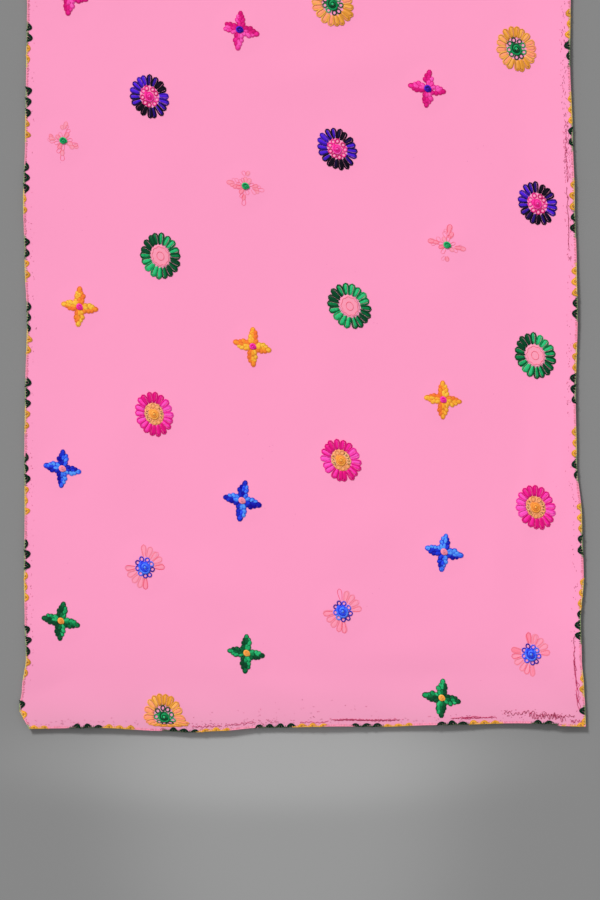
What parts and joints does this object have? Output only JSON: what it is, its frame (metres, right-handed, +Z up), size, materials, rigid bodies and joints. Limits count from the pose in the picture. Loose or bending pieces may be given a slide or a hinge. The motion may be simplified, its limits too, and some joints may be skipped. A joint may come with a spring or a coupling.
{
  "type": "dupatta stole",
  "caption": "Long stole of thin plain cloth laid out flat, with raised thread-worked flowers on a slanting lattice and a toothed thread edging on all four edges.",
  "frame": {"origin": "middle of the stole's box, on the surface that it rests on", "axes": "+Y along the stole's length from the near hem to the far end, +Z up, out of the worked face"},
  "size_m": [0.729, 2.0392, 0.008],
  "materials": {
    "cloth": "smooth matt woven cloth, bright pink",
    "edging": "variegated embroidery thread, dark green, mustard yellow and pink in turn",
    "thread_flowers": "glossy variegated embroidery thread in several colours"
  },
  "bodies": {
    "root": {"cloth_panel": "cloth", "edging_left": "edging", "edging_right": "edging", "edging_hem": "edging", "edging_far": "edging"}
  },
  "joints": []
}
